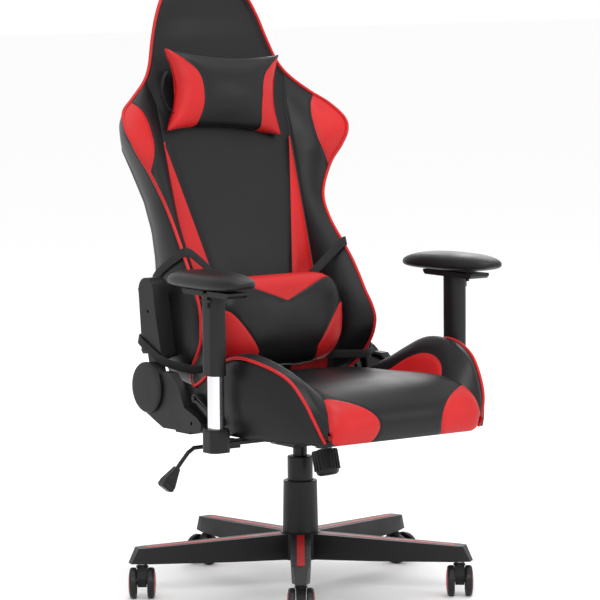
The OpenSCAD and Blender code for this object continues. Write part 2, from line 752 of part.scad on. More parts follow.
module back_frame() {
    color(black) union() {
        back_place() {
            frame_tubes(0);
            frame_arms(0);
        }
        difference() {
            back_place() for (s = [right, left]) on_side(s, upper_plate_x, upper_plate_x + side_t) {
                circle(26);
                polygon([[-25, 4], [-16, 200], [16, 200], [25, 4]]);
            }
            for (s = [right, left])
                side_pin(s, 200, 260, pivot_y, pivot_z, stud_r + run);
        }
    }
}
module back_arm_covers() {
    inner = 215;
    outer = 251;
    color(soft_black) for (s = [right, left]) difference() {
        on_side(s, inner, outer) {
            translate([165, 591]) circle(25.5);
            polygon([[139.5, 592], [130, 540], [112, 470], [119, 462.5], [130, 465],
                [154, 468], [177, 466], [183, 472], [181, 486], [190.5, 592]]);
        }
        // Room for the side bracket and its cross pins
        back_place() for (z = [60, 176]) side_pin(s, 200, 250, 0, z, 8 + gap);
        back_place() on_side(s, upper_plate_x - gap, upper_plate_x + side_t + gap)
            polygon([[-27, 0], [-17, 201], [17, 201], [27, 0]]);
        side_pin(s, outer - 8, outer + 5, 158, 551, 3.4);
    }
}
module back_cushion() {
    color(soft_black) back_place() difference() {
        intersection() {
            back_slab(foam_low, foam_high);
            rotate([90, 0, 0]) linear_extrude(300, center = true)
                polygon([[-back_mid, -40], [back_mid, -40], [back_mid, 592], [200, 592],
                    [200, 900], [-200, 900], [-200, 592], [-back_mid, 592]]);
        }
        frame_tubes(gap);
        frame_arms(gap);
    }
}
module back_wings() {
    color(soft_black) back_place() for (s = [-1, 1]) difference() {
        intersection() {
            back_slab(wing_back, 136);
            translate([s > 0 ? back_mid + gap : -300, -200, -40])
                cube([300 - back_mid - gap, 400, 631.7]);
            side_view(-300, 300) polygon(concat(
                [for (p = wing_edge) [-p[1], p[0]]], [[-wing_back, 640], [-wing_back, -20], [-40, -14]]));
        }
        frame_arms(gap);
    }
}
// A pillow: an outline across and up, between two depths, with rounded top and bottom
module pillow(half_x, low, high, back, front, pinch) {
    side = smooth([[-back, low + 12], [-back - 4, high - 12], [-(back + front) / 2, high],
        [-front, high - 28], [-front - 2, (low + high) / 2], [-front, low + 28],
        [-(back + front) / 2, low], [-back, low + 12]], 4);
    intersection() {
        side_view(-half_x, half_x) polygon(side);
        translate([0, 300, 0]) rotate([90, 0, 0]) linear_extrude(600) polygon(smooth([
            [-half_x, low], [0, low + pinch], [half_x, low], [half_x - pinch, (low + high) / 2],
            [half_x, high], [0, high - pinch], [-half_x, high],
            [-half_x + pinch, (low + high) / 2], [-half_x, low]], 3));
    }
}
module head_pillow() {
    color(soft_black) back_place() pillow(136, 504, 650, foam_high + 1, 118, 10);
}
module lumbar_pillow() {
    color(soft_black) back_place() pillow(149, 18, 182, foam_high + 1, 136, 2);
}
module pillow_straps() {
    w = 15;
    t = 1.5;
    rear = foam_low - 4;
    color(black) back_place() for (s = [right, left]) {
        // Upper strap: pillow corner, over the wing's edge, round behind
        ribbon([[s * 122, -92, 188], [s * 150, -119, 211], [s * 172, -121, 226],
            [s * 194, -114, 245], [s * 204, -97, 246], [s * 206, -30, 232], [s * 206, 20, 218],
            [s * 160, -rear, 214], [s * 1, -rear, 214]],
            [[0, -0.3, 1], [0, -0.2, 1], [0, -0.2, 1], [0, -0.1, 1], [0, 0, 1], [0, 0, 1],
                [0, 0, 1], [0, 0, 1], [0, 0, 1]], w, t);
    }
    // Lower strap: pillow corner, in front of the wing, outside the arm cover, round behind
    color(black) for (s = [right, left])
        ribbon([[s * 151.5, 58, 447], [s * 172, 46, 444], [s * 205, 37, 444], [s * 240, 36, 444],
            [s * 269, 40, 446], [s * 269.5, 66, 453], [s * 269, 110, 466], [s * 268, 160, 486],
            [s * 262, 184, 492], [s * 225, 205, 490], [s * 165, 211, 486], [s * 1, 211, 486]],
            [for (i = [0 : 11]) i < 4 ? [0, 0, 1] : i < 9 ? [0, -0.35, 1] : [0, 0, 1]], w, t);
    // Elastic loop beside the head pillow
    color(black) back_place() ribbon([[-137.5, -58, 608], [-146, -55, 598], [-150, -52, 576],
        [-146, -54, 552], [-137.5, -57, 542]],
        [[0, 1, 0], [0, 1, 0], [0, 1, 0], [0, 1, 0], [0, 1, 0]], 10, t);
}

// ---------- drawing ----------

star_base();
leg_inlays();
gas_cylinder();
column_cover();
guide_bush();
thrust_bearing();
caster_stems();
caster_fork(0);  // caster_fork_1
caster_fork(1);  // caster_fork_2
caster_fork(2);  // caster_fork_3
caster_fork(3);  // caster_fork_4
caster_fork(4);  // caster_fork_5
caster_wheels(0);  // caster_wheels_1
caster_wheels(1);  // caster_wheels_2
caster_wheels(2);  // caster_wheels_3
caster_wheels(3);  // caster_wheels_4
caster_wheels(4);  // caster_wheels_5
caster_caps(0);  // caster_caps_1
caster_caps(1);  // caster_caps_2
caster_caps(2);  // caster_caps_3
caster_caps(3);  // caster_caps_4
caster_caps(4);  // caster_caps_5
piston_rod();
lift_tube();
release_pin();
tilt_housing();
tilt_pin();
tilt_spring();
tension_knob();
lift_lever();
lift_lever_grip();
seat_plate();
seat_frame();
seat_bolts();
seat_cushion();
seat_wing_right();
seat_wing_left();
arm_bracket_right();
arm_bracket_left();
arm_tube_right();
arm_tube_left();
recliner_plates();
recliner_cover_right();
recliner_cover_left();
recliner_caps();
recline_spring();
recline_lever();
arm_sleeve_right();
arm_sleeve_left();
arm_pad_right();
arm_pad_left();
arm_trigger_right();
arm_trigger_left();
back_frame();
back_arm_covers();
back_cushion();
back_wings();
head_pillow();
lumbar_pillow();
pillow_straps();
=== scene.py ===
# The looks of a racing-style swivel chair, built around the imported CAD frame.
# Lengths are in millimetres; make_piece() turns them into Blender's metres.
import json
import math

import bmesh
import bpy
from mathutils import Matrix, Vector


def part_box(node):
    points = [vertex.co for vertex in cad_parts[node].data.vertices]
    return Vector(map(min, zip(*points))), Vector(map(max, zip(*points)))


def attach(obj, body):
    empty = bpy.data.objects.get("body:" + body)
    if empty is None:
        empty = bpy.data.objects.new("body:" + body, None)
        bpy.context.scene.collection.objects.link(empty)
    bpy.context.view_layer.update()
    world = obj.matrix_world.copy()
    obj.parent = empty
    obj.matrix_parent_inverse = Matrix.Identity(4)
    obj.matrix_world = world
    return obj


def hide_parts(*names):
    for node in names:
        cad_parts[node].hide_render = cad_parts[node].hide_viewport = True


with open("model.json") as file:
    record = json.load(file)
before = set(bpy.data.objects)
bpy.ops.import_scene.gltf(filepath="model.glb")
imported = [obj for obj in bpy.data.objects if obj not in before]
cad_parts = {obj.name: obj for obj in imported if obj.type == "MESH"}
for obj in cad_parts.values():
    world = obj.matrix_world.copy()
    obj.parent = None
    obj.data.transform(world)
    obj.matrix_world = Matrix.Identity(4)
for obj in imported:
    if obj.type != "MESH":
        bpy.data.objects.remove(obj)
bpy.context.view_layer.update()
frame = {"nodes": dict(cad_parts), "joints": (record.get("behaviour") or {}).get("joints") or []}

MM = 0.001
JOINTS = {joint["name"]: joint for joint in frame["joints"]}
PIVOT = Vector(JOINTS["recline"]["pos_m"]) / MM
LEAN = math.radians(17)
SIDES = {"right": -1, "left": 1}

# ---------- camera, lights and floor ----------

VIEW_AZIMUTH = math.radians(-36)
VIEW_PITCH = math.radians(6.10)
VIEW_ROLL = math.radians(-0.43)
VIEW_AWAY = 6.909
VIEW_HEIGHT = 1.3074
VIEW_LENS = 212.4
VIEW_SHIFT = 0.0019


def make_camera():
    camera = bpy.data.cameras.new("camera")
    camera.lens = VIEW_LENS
    camera.sensor_width = 36
    camera.shift_x = VIEW_SHIFT
    camera.clip_end = 60
    eye = bpy.data.objects.new("camera", camera)
    bpy.context.scene.collection.objects.link(eye)
    turn = Matrix.Rotation(VIEW_AZIMUTH, 4, "Z")
    tip = Matrix.Rotation(math.radians(90) - VIEW_PITCH, 4, "X")
    roll = Matrix.Rotation(VIEW_ROLL, 4, "Z")
    place = Vector((VIEW_AWAY * math.sin(VIEW_AZIMUTH), -VIEW_AWAY * math.cos(VIEW_AZIMUTH), VIEW_HEIGHT))
    eye.matrix_world = Matrix.Translation(place) @ turn @ tip @ roll
    bpy.context.scene.camera = eye


def make_light(name, place, size, power):
    light = bpy.data.lights.new(name, "AREA")
    light.shape = "RECTANGLE"
    light.size, light.size_y = size
    light.energy = power
    lamp = bpy.data.objects.new(name, light)
    bpy.context.scene.collection.objects.link(lamp)
    lamp.location = place
    aim = Vector((0, 0, 0.65)) - Vector(place)
    lamp.rotation_euler = aim.to_track_quat("-Z", "Y").to_euler()


def make_studio():
    make_light("key_light", (-2.6, -3.0, 3.2), (1.4, 1.4), 60)
    make_light("fill_light", (2.2, -3.6, 1.6), (1.6, 1.6), 22)
    make_light("top_light", (0.2, -0.6, 3.6), (1.8, 1.8), 42)
    make_light("rear_light", (2.6, 2.8, 2.4), (1.6, 1.6), 30)
    world = bpy.data.worlds.new("studio")
    world.use_nodes = True
    world.node_tree.nodes["Background"].inputs["Color"].default_value = (1, 1, 1, 1)
    world.node_tree.nodes["Background"].inputs["Strength"].default_value = 1.0
    bpy.context.scene.world = world
    bpy.context.scene.view_settings.view_transform = "Standard"
    bpy.ops.mesh.primitive_plane_add(size=60, location=(0, 0, 0))
    floor = bpy.context.object
    floor.name = "floor"
    paint = new_material("floor_paint", (0.97, 0.97, 0.97), 1.0)[0]
    floor.data.materials.append(paint)


# ---------- materials ----------


def new_material(name, colour, roughness, metallic=0.0):
    """A Principled material, and what its nodes need: the tree, the shader and the coordinates."""
    material = bpy.data.materials.new(name)
    material.use_nodes = True
    tree = material.node_tree
    shader = tree.nodes["Principled BSDF"]
    shader.inputs["Base Color"].default_value = (*colour, 1)
    shader.inputs["Roughness"].default_value = roughness
    shader.inputs["Metallic"].default_value = metallic
    return material, tree, shader, tree.nodes.new("ShaderNodeTexCoord").outputs["Object"]


def noise_node(tree, where, scale, detail=3.0):
    node = tree.nodes.new("ShaderNodeTexNoise")
    node.inputs["Scale"].default_value = scale
    node.inputs["Detail"].default_value = detail
    tree.links.new(where, node.inputs["Vector"])
    return node.outputs["Fac"]


def ranged(tree, value, low, high):
    node = tree.nodes.new("ShaderNodeMapRange")
    node.inputs["From Min"].default_value = 0.3
    node.inputs["From Max"].default_value = 0.7
    node.inputs["To Min"].default_value = low
    node.inputs["To Max"].default_value = high
    tree.links.new(value, node.inputs["Value"])
    return node.outputs["Result"]


def tinted(tree, shader, value, colour, spread):
    """Varies the base colour a little, from darker to lighter, as value goes from low to high."""
    node = tree.nodes.new("ShaderNodeMix")
    node.data_type = "RGBA"
    node.inputs["A"].default_value = (*[c * (1 - spread) for c in colour], 1)
    node.inputs["B"].default_value = (*[min(1, c * (1 + spread)) for c in colour], 1)
    tree.links.new(ranged(tree, value, 0, 1), node.inputs["Factor"])
    tree.links.new(node.outputs["Result"], shader.inputs["Base Color"])


def bumped(tree, shader, height, distance, strength, under=None):
    node = tree.nodes.new("ShaderNodeBump")
    node.inputs["Distance"].default_value = distance
    node.inputs["Strength"].default_value = strength
    tree.links.new(height, node.inputs["Height"])
    if under:
        tree.links.new(under, node.inputs["Normal"])
    tree.links.new(node.outputs["Normal"], shader.inputs["Normal"])
    return node.outputs["Normal"]


def leather(name, colour, roughness):
    """Coated artificial leather: a pebbled grain under a soft, uneven gloss, with faint creases."""
    material, tree, shader, where = new_material(name, colour, roughness)
    grain = tree.nodes.new("ShaderNodeTexVoronoi")
    grain.feature = "SMOOTH_F1"
    grain.inputs["Scale"].default_value = 850
    tree.links.new(where, grain.inputs["Vector"])
    creases = noise_node(tree, where, 38, 4)
    blotches = noise_node(tree, where, 9, 2)
    low = bumped(tree, shader, creases, 0.0012, 0.25)
    bumped(tree, shader, grain.outputs["Distance"], 0.00022, 0.35, low)
    tree.links.new(ranged(tree, blotches, roughness - 0.05, roughness + 0.07), shader.inputs["Roughness"])
    tinted(tree, shader, blotches, colour, 0.10)
    shader.inputs["Specular IOR Level"].default_value = 0.27
    return material


def moulded_plastic(name, colour, roughness, grain=0.3):
    """Textured nylon: a fine spark-eroded grain with slight wear in its gloss."""
    material, tree, shader, where = new_material(name, colour, roughness)
    bumped(tree, shader, noise_node(tree, where, 1400, 2), 0.0002, grain)
    wear = noise_node(tree, where, 14, 4)
    tree.links.new(ranged(tree, wear, roughness - 0.06, roughness + 0.08), shader.inputs["Roughness"])
    tinted(tree, shader, wear, colour, 0.12)
    shader.inputs["Specular IOR Level"].default_value = 0.28
    return material


def bare_metal(name, colour, roughness, streaks):
    """Steel or chrome: fine streaks in the gloss, stretched along Z."""
    material, tree, shader, where = new_material(name, colour, roughness, 1.0)
    stretch = tree.nodes.new("ShaderNodeMapping")
    stretch.inputs["Scale"].default_value = (1, 1, 0.06)
    tree.links.new(where, stretch.inputs["Vector"])
    lines = noise_node(tree, stretch.outputs["Vector"], 700, 2)
    tree.links.new(ranged(tree, lines, roughness, roughness + streaks), shader.inputs["Roughness"])
    return material


def elastic_web(name, colour):
    """Woven elastic: fine ribs across two directions."""
    material, tree, shader, where = new_material(name, colour, 0.85)
    ribs = []
    for axis in ("X", "Z"):
        wave = tree.nodes.new("ShaderNodeTexWave")
        wave.bands_direction = axis
        wave.inputs["Scale"].default_value = 260
        wave.inputs["Distortion"].default_value = 0.4
        tree.links.new(where, wave.inputs["Vector"])
        ribs.append(wave.outputs["Fac"])
    weave = tree.nodes.new("ShaderNodeMath")
    weave.operation = "MULTIPLY"
    tree.links.new(ribs[0], weave.inputs[0])
    tree.links.new(ribs[1], weave.inputs[1])
    bumped(tree, shader, weave.outputs["Value"], 0.0004, 0.6)
    tinted(tree, shader, noise_node(tree, where, 60), colour, 0.2)
    return material


BLACK_LEATHER = leather("black_leather", (0.0045, 0.0045, 0.0056), 0.42)
RED_LEATHER = leather("red_leather", (0.46, 0.010, 0.011), 0.47)
LEATHERS = [BLACK_LEATHER, RED_LEATHER]
BLACK, RED = 0, 1
PIPING_RADIUS = 3.2
NYLON = moulded_plastic("nylon", (0.0075, 0.0075, 0.0085), 0.46)
SMOOTH_PLASTIC = moulded_plastic("smooth_plastic", (0.006, 0.006, 0.007), 0.34, 0.12)
WHEEL_PLASTIC = moulded_plastic("wheel_plastic", (0.008, 0.008, 0.009), 0.4, 0.15)
RED_PLASTIC = moulded_plastic("red_plastic", (0.46, 0.010, 0.012), 0.42, 0.2)
PAD_FOAM = moulded_plastic("pad_foam", (0.006, 0.006, 0.007), 0.42, 0.5)
STEEL_PAINT = moulded_plastic("steel_paint", (0.006, 0.006, 0.007), 0.38, 0.25)
BRIGHT_STEEL = bare_metal("bright_steel", (0.55, 0.55, 0.57), 0.25, 0.15)
CHROME = bare_metal("chrome", (0.80, 0.80, 0.82), 0.05, 0.05)
ELASTIC = elastic_web("elastic", (0.006, 0.006, 0.007))

# ---------- curves and meshes ----------


def lerp(a, b, t):
    return a + (b - a) * t


def table(points, x):
    """Straight lines through (x, y) points that rise in x, held level beyond both ends."""
    if x <= points[0][0]:
        return points[0][1]
    for (x0, y0), (x1, y1) in zip(points, points[1:]):
        if x <= x1:
            return lerp(y0, y1, (x - x0) / (x1 - x0))
    return points[-1][1]


def smooth_curve(points, steps, closed=False):
    """A Catmull-Rom curve through the points, with that many steps between neighbours."""
    points = [Vector(p) for p in points]
    n = len(points)
    curve = []
    for i in range(n if closed else n - 1):
        if closed:
            a, b, c, d = (points[(i + k) % n] for k in (-1, 0, 1, 2))
        else:
            a, b, c, d = points[max(i - 1, 0)], points[i], points[i + 1], points[min(i + 2, n - 1)]
        for k in range(steps):
            t = k / steps
            curve.append(0.5 * (2 * b + (c - a) * t + (2 * a - 5 * b + 4 * c - d) * t**2
                                + (3 * b - a - 3 * c + d) * t**3))
    return curve if closed else curve + [points[-1]]


def rounded_table(points):
    """The same kind of table as table() reads, with a smooth curve through its points."""
    return [(p.x, p.y) for p in smooth_curve([(x, y, 0) for x, y in points], 5)]


def mirrored(points):
    return [Vector((-p.x, p.y, p.z)) for p in points]


def make_piece(name, points, faces, materials, paint=None, grooves=None):
    """A welded, smooth mesh. Points named in grooves sink by that depth to form a seam."""
    mesh = bpy.data.meshes.new(name)
    mesh.from_pydata([Vector(p) * MM for p in points], [], faces)
    for material in materials:
        mesh.materials.append(material)
    if paint:
        for polygon, index in zip(mesh.polygons, paint):
            polygon.material_index = index
    depth = mesh.attributes.new("groove", "FLOAT", "POINT")
    for index, value in (grooves or {}).items():
        depth.data[index].value = value
    work = bmesh.new()
    work.from_mesh(mesh)
    bmesh.ops.remove_doubles(work, verts=work.verts, dist=0.03 * MM)
    bmesh.ops.dissolve_degenerate(work, edges=work.edges, dist=0.01 * MM)
    bmesh.ops.recalc_face_normals(work, faces=work.faces)
    work.normal_update()
    layer = work.verts.layers.float["groove"]
    moves = [(v, v.normal * v[layer] * MM) for v in work.verts if v[layer]]
    for vertex, move in moves:
        vertex.co -= move
    for face in work.faces:
        face.smooth = True
    work.to_mesh(mesh)
    work.free()
    mesh.attributes.remove(mesh.attributes["groove"])
    piece = bpy.data.objects.new(name, mesh)
    bpy.context.scene.collection.objects.link(piece)
    return piece


def round_frames(path):
    """For each point of an open path: the point and two directions across it, which don't twist."""
    frames = []
    side = None
    for i, point in enumerate(path):
        ahead = path[min(i + 1, len(path) - 1)]
        behind = path[max(i - 1, 0)]
        along = (ahead - behind).normalized()
        if side is None:
            side = along.orthogonal().normalized()
        side = (side - along * side.dot(along)).normalized()
        frames.append((point, side, along.cross(side)))
    return frames


def tube(name, path, radius, material, sides=10):
    """A round cord along an open path, with domed ends."""
    frames = round_frames(path)
    along = [(path[1] - path[0]).normalized(), (path[-1] - path[-2]).normalized()]
    rings = [(frames[0][0] - along[0] * radius * 0.8, frames[0][1], frames[0][2], 0.5)]
    rings += [(p, u, v, 1) for p, u, v in frames]
    rings += [(frames[-1][0] + along[1] * radius * 0.8, frames[-1][1], frames[-1][2], 0.5)]
    points = []
    for p, u, v, size in rings:
        for k in range(sides):
            a = 2 * math.pi * k / sides
            points.append(p + (u * math.cos(a) + v * math.sin(a)) * radius * size)
    return make_piece(name, points, ring_faces(len(rings), sides), [material])


def ring_faces(rows, count):
    """Faces between closed rings of count points each, and a cap at both ends."""
    faces = [(i * count + j, i * count + (j + 1) % count, (i + 1) * count + (j + 1) % count,
              (i + 1) * count + j) for i in range(rows - 1) for j in range(count)]
    faces.append(tuple(range(count)))
    faces.append(tuple(range((rows - 1) * count, rows * count)))
    return faces


def across(breaks, cells, shoulder=2.6):
    """Positions between breaks. A seam can lie at each break, so a narrow cell flanks it.
    Returns the positions, and the index of the break that each one lies on, or None."""
    places, on_break = [], []
    for k in range(len(breaks) - 1):
        a, b = breaks[k], breaks[k + 1]
        edge = min(shoulder, 0.3 * (b - a))
        places += [a] + [lerp(a + edge, b - edge, i / cells[k]) for i in range(cells[k] + 1)]
        on_break += [k] + [None] * (cells[k] + 1)
    return places + [breaks[-1]], on_break + [len(breaks) - 1]


def stretch_of(cells):
    """For each cell across a row, the stretch between breaks that it belongs to."""
    return [k for k, count in enumerate(cells) for _ in range(count + 2)]


def bow(a, b, t, height):
    """A point from a to b in a 2D section, bowed to its left by height."""
    a, b = Vector(a), Vector(b)
    chord = (b - a).normalized()
    return a.lerp(b, t) + Vector((-chord.y, chord.x)) * height * 4 * t * (1 - t)


# ---------- soft relaxing by cloth simulation ----------


CLOTH_FRAMES = 20


def puff(piece, pressure, cap, slack):
    """Lets a padded piece swell like stuffed fabric. No point moves more than cap."""
    mesh = piece.data
    rest = [v.co.copy() for v in mesh.vertices]
    cloth = piece.modifiers.new("Cloth", "CLOTH")
    cloth.settings.use_pressure = True
    cloth.settings.uniform_pressure_force = pressure
    cloth.settings.effector_weights.gravity = 0
    cloth.settings.shrink_min = -slack
    cloth.settings.quality = 4
    cloth.point_cache.frame_end = CLOTH_FRAMES
    scene = bpy.context.scene
    for number in range(1, CLOTH_FRAMES + 1):
        scene.frame_set(number)
    settled = piece.evaluated_get(bpy.context.evaluated_depsgraph_get())
    places = [v.co.copy() for v in settled.data.vertices]
    piece.modifiers.remove(cloth)
    scene.frame_set(1)
    for vertex, old, new in zip(mesh.vertices, rest, places):
        move = new - old
        if move.length > cap * MM:
            move *= cap * MM / move.length
        vertex.co = old + move


# ---------- backrest ----------


def on_back(x, forward, up):
    """A point in the backrest's own frame: across, forward of the pivot, and up the lean."""
    return Vector((x, PIVOT.y + up * math.sin(LEAN) - forward * math.cos(LEAN),
                   PIVOT.z + up * math.cos(LEAN) + forward * math.sin(LEAN)))


# The piped edge, from the bottom to the top: half width, forward, up
BACK_EDGE = smooth_curve([
    (140, 16, -14), (176, 28, -10), (198, 52, 2), (208, 80, 22), (210, 106, 41), (210, 123, 60),
    (210, 131, 80), (206, 132, 106), (201, 127, 134), (199, 119, 168), (197, 109, 202), (194, 97, 234),
    (188, 71, 300), (193, 59, 355), (219, 66, 412), (246, 79, 447), (262, 86, 475), (266, 79, 503),
    (249, 58, 540), (216, 47, 568), (177, 40, 603), (155, 36, 636), (138, 36, 686), (123, 40, 730),
    (103, 44, 771), (73, 46, 808), (44, 46, 827), (14, 46, 835)], 6)
# Half width of the rear face, by height
BACK_REAR = [(-14, 132), (16, 192), (60, 200), (120, 202), (180, 196), (219, 187), (259, 181), (314, 178),
             (375, 184), (435, 200), (483, 214), (524, 208), (568, 176), (603, 132), (636, 108), (686, 92),
             (730, 79), (771, 61), (808, 36), (827, 20), (835, 7)]
# How far forward the flat front panel's edge lies, and where its seam runs, by height
PANEL_EDGE = [(-14, 12), (0, 26), (25, 35), (80, 38), (560, 38), (603, 37), (640, 34), (690, 34),
              (730, 39), (835, 43)]
SEAM_X = [(-14, 150), (150, 150), (300, 153), (556, 155), (606, 168)]
SEAM_TOP = 606
# The red stripes' inner edge moves outwards with height, so that they narrow to a tip
STRIPE_FOOT, STRIPE_SLOPE = 55, 0.205
STRIPE_TIP = 478
# The red patches on the shoulders of the wings
PATCH_LOW, PATCH_HIGH = 409, 563
PATCH_X = rounded_table([(409, 219), (430, 213), (465, 204), (495, 202), (520, 203), (545, 210), (563, 226)])
REAR_FLAT = -42
REAR_ROUND = 22
# No pillow reaches further back than the front panel
PILLOW_BACK = 43


def back_breaks(edge):
    """Where the seams cross one row of the front, from the middle out."""
    width, up = edge.x, edge.z
    patch = table(PATCH_X, up) if PATCH_LOW < up < PATCH_HIGH else width
    patch = min(patch, width - 2)
    seam = min(table(SEAM_X, up), patch - 4)
    stripe = min(STRIPE_FOOT + STRIPE_SLOPE * up, seam - 3) if up < STRIPE_TIP else seam - 3
    stripe = max(stripe, 2)
    return [-width, -patch, -seam, -stripe, stripe, seam, patch, width]


def back_front_point(edge, seam, x):
    """A point of the front: a low crown between the seams, then the wing up to the piped edge."""
    width, forward, up = edge
    s = abs(x)
    base = table(PANEL_EDGE, up)
    if s <= seam:
        crown = 6 * min(1, width / 110)
        depth = base + crown * (1 - (s / seam) ** 4)
        return x, depth
    length = math.hypot(width - seam, forward - base)
    point = bow((seam, base), (width, forward), (s - seam) / (width - seam), min(12, 0.12 * length))
    return math.copysign(point.x, x), point.y


def make_backrest():
    front_cells = [5, 8, 4, 16, 4, 8, 5]
    rear_cells = [6, 10, 6]
    gusset_steps = 7
    round_steps = 4
    points, grooves, ring_tags = [], {}, []
    for edge in BACK_EDGE:
        width, forward, up = edge
        breaks = back_breaks(edge)
        seam = breaks[5]
        places, marks = across(breaks, front_cells)
        ring_tags = [("front", k) for k in stretch_of(front_cells)]
        for x, mark in zip(places, marks):
            on_stripe = mark in (3, 4) and up < STRIPE_TIP
            on_seam = mark in (2, 5) and up < SEAM_TOP
            on_patch = mark in (1, 6) and PATCH_LOW < up < PATCH_HIGH
            if on_stripe or on_seam or on_patch:
                grooves[len(points)] = 2.0
            px, depth = back_front_point(edge, seam, x)
            points.append(on_back(px, depth, up))
        rear = min(table(BACK_REAR, up), width + 20)
        corner = min(REAR_ROUND, rear * 0.4)
        bulge = 0.07 * (forward - REAR_FLAT)
        sides = []
        for k in range(1, gusset_steps + 1):
            point = bow((rear, REAR_FLAT + corner), (width, forward), 1 - k / gusset_steps, -bulge)
            sides.append((point.x, point.y))
        for k in range(1, round_steps):
            a = math.pi / 2 * k / round_steps
            sides.append((rear - corner * (1 - math.cos(a)), REAR_FLAT + corner * (1 - math.sin(a))))
        for x, depth in sides:
            points.append(on_back(x, depth, up))
        ring_tags += [("side", 0)] * (len(sides) + 1)
        flat = rear - corner
        rear_seam = 0.62 * flat
        places, marks = across([-flat, -rear_seam, rear_seam, flat], rear_cells)
        for x, mark in zip(reversed(places), reversed(marks)):
            if mark in (1, 2) and up > 20:
                grooves[len(points)] = 1.6
            crown = 4 * (1 - (x / flat) ** 2) * min(1, width / 110)
            points.append(on_back(x, REAR_FLAT - crown, up))
        ring_tags += [("rear", 0)] * (len(places) - 1) + [("side", 0)] * (len(sides) + 1)
        for x, depth in reversed(sides):
            points.append(on_back(-x, depth, up))
    count = len(points) // len(BACK_EDGE)
    faces = ring_faces(len(BACK_EDGE), count)
    paint = []
    for edge in BACK_EDGE[:-1]:
        for kind, k in ring_tags[:count]:
            red = kind == "front" and (k in (2, 4) and edge.z < STRIPE_TIP
                                       or k in (0, 6) and PATCH_LOW < edge.z < PATCH_HIGH)
            paint.append(RED if red else BLACK)
    piece = make_piece("backrest_cover", points, faces, LEATHERS, paint + [BLACK, BLACK], grooves)
    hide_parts("back_cushion", "back_wings")
    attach(piece, "back")
    half = [on_back(edge.x + 1.5, edge.y + 1.0, edge.z) for edge in BACK_EDGE]
    top = [on_back(x, 47.5, 836.5) for x in (6, -6)]
    piping = tube("backrest_piping", half + top + mirrored(reversed(half)), PIPING_RADIUS, RED_LEATHER)
    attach(piping, "back")


# ---------- pillows ----------

HEAD_MIDDLE = Vector((-9, 67, 568))
HEAD_HALF = Vector((134, 46, 80))
HEAD_PINCH = Vector((20, 0, 17))
# The pillow hangs a little askew, and leans forward at its top
HEAD_SLANT = math.radians(-4.5)
HEAD_TIP = 0.15
# Where the red ends begin: height from -1 to 1, distance from the middle as a share
HEAD_RED = rounded_table([(-1, 0.56), (-0.5, 0.57), (0, 0.61), (0.45, 0.68), (0.75, 0.82), (0.9, 0.93),
                          (1, 0.985)])


def on_pillow(x, forward, rise):
    """A point of the head pillow, from its middle: across, forward and up, before it hangs askew."""
    across_to = x * math.cos(HEAD_SLANT) - rise * math.sin(HEAD_SLANT)
    up = x * math.sin(HEAD_SLANT) + rise * math.cos(HEAD_SLANT)
    depth = HEAD_MIDDLE.y + forward + HEAD_TIP * rise
    return on_back(HEAD_MIDDLE.x + across_to, max(depth, PILLOW_BACK), HEAD_MIDDLE.z + up)


def make_head_pillow():
    cells = [9, 22, 9]
    steps = 22
    heights = [-math.cos(math.pi * k / steps) for k in range(steps + 1)]
    loop = [(q, 1) for q in heights] + [(q, -1) for q in reversed(heights[1:-1])]
    points, grooves, paint = [], {}, []
    for q, face in loop:
        red = table(HEAD_RED, q)
        places, marks = across([-1, -red, red, 1], cells, 0.02)
        for p, mark in zip(places, marks):
            x = p * (HEAD_HALF.x - HEAD_PINCH.x * (1 - q * q))
            rise = q * (HEAD_HALF.z - HEAD_PINCH.z * (1 - p * p))
            swell = (1 - p * p) ** 0.38 * (1 - q * q) ** 0.42
            pucker = 1.6 * math.sin(11 * q + 2 * p) * max(0, abs(p) - 0.55) * (1 - q * q)
            if mark in (1, 2):
                grooves[len(points)] = 1.2 if abs(q) < 0.98 else 0
            points.append(on_pillow(x, face * (HEAD_HALF.y * swell + pucker), rise))
    count = len(points) // len(loop)
    rows = len(loop)
    faces = []
    tags = stretch_of(cells)
    for i in range(rows):
        for j in range(count - 1):
            k = (i + 1) % rows
            faces.append((i * count + j, i * count + j + 1, k * count + j + 1, k * count + j))
            paint.append(RED if tags[j] in (0, 2) else BLACK)
    piece = make_piece("head_cushion", points, faces, LEATHERS, paint, grooves)
    puff(piece, pressure=1.2, cap=5, slack=0.05)
    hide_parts("head_pillow")
    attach(piece, "back")
    for name, level in (("head_seam_top", 1), ("head_seam_low", -1)):
        line = [on_pillow(p * HEAD_HALF.x, 0, level * (HEAD_HALF.z + 1 - HEAD_PINCH.z * (1 - p * p)))
                for p in (-1, -0.75, -0.5, -0.25, 0, 0.25, 0.5, 0.75, 1)]
        seam = tube(name, smooth_curve(line, 4), 1.3, BLACK_LEATHER, 6)
        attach(seam, "back")


LUMBAR_MIDDLE = Vector((0, 88, 96))
LUMBAR_HALF = Vector((147, 48, 86))
# The red V on the front opens upwards from its tip. Its columns spread again below the tip
LUMBAR_V_TIP = 124
LUMBAR_V_HALF = 138
LUMBAR_SPREAD = 60
LUMBAR_V_LEAST = 1.5
# Where the red side corners begin, by height, up to the height where they end
LUMBAR_SIDE = [(12, 74), (36, 68), (138, 146)]
LUMBAR_SIDE_TOP = 137
LUMBAR_FULL = 146
LUMBAR_TIP = 0.12


